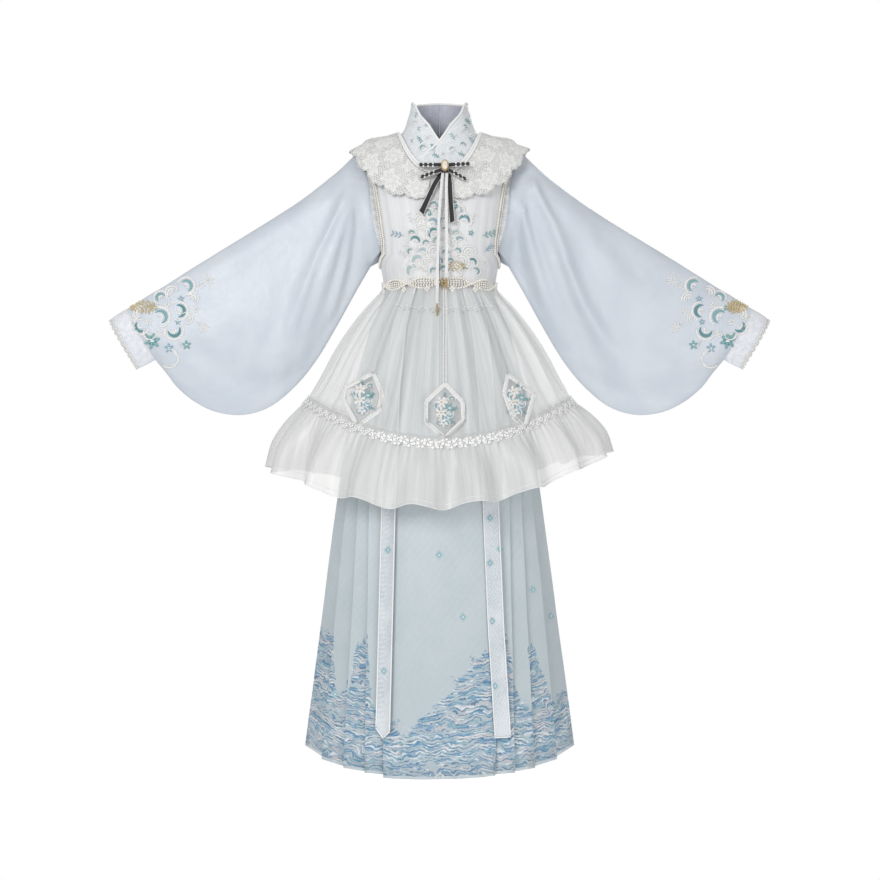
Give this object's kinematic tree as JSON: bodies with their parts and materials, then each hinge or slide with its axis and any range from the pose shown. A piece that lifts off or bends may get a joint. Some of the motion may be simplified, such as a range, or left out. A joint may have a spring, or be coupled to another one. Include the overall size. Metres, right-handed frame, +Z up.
{
  "type": "hanfu lolita dress set",
  "caption": "Filled-out dress set: crossed-collar shirt with wide pipa sleeves, sheer vest with lace cape, peplum and ruffle, and a pleated mamian skirt, hollow throughout.",
  "frame": {"origin": "centre of the neck's base, where a wearer holds the set up", "axes": "+Z up, -Y out of the front of the garment, +X towards the sleeve on the right as the front is seen"},
  "size_m": [1.407, 0.5511, 1.3928],
  "materials": {
    "blue_satin": "pale blue satin",
    "brocade": "pale blue and teal brocade",
    "organza": "sheer white organza",
    "lace": "white lace and ribbon",
    "skirt_jacquard": "pale blue-grey jacquard with a printed hem",
    "pearl": "cream pearl",
    "black_ribbon": "black woven ribbon",
    "gold": "antique gold",
    "cameo": "cream cameo"
  },
  "bodies": {
    "root": {"shirt_front": "blue_satin", "shirt_back": "blue_satin", "collar_left": "brocade", "collar_right": "brocade", "sleeve_left_front": "blue_satin", "sleeve_left_back": "blue_satin", "sleeve_right_front": "blue_satin", "sleeve_right_back": "blue_satin", "cuff_left": "brocade", "cuff_right": "brocade", "cuff_lace_left": "lace", "cuff_lace_right": "lace", "vest_front_left": "organza", "vest_front_right": "organza", "vest_back": "organza", "neck_binding": "lace", "lace_cape_left": "lace", "lace_cape_right": "lace", "armhole_frill_left_front": "organza", "armhole_frill_left_back": "organza", "armhole_frill_right_front": "organza", "armhole_frill_right_back": "organza", "peplum_front_left": "organza", "peplum_front_right": "organza", "peplum_back": "organza", "ruffle_front": "organza", "ruffle_back": "organza", "seam_lace": "lace", "diamond_left": "brocade", "diamond_centre": "brocade", "diamond_right": "brocade", "skirt_waistband": "blue_satin", "skirt_front_panel": "skirt_jacquard", "skirt_back_panel": "skirt_jacquard", "skirt_pleats_left_front": "skirt_jacquard", "skirt_pleats_left_side": "skirt_jacquard", "skirt_pleats_left_back": "skirt_jacquard", "skirt_pleats_right_front": "skirt_jacquard", "skirt_pleats_right_side": "skirt_jacquard", "skirt_pleats_right_back": "skirt_jacquard", "strap_left": "skirt_jacquard", "strap_right": "skirt_jacquard", "waist_chain": "pearl", "bow_knot": "black_ribbon", "bow_loop_upper_left": "black_ribbon", "bow_loop_upper_right": "black_ribbon", "bow_loop_lower_left": "black_ribbon", "bow_loop_lower_right": "black_ribbon", "bow_tail_left": "black_ribbon", "bow_tail_right": "black_ribbon", "brooch_plate": "gold", "brooch_cameo": "cameo", "ribbon_tie_left": "lace", "ribbon_tie_right": "lace", "tie_tip_left": "pearl", "tie_tip_right": "pearl"}
  },
  "joints": []
}
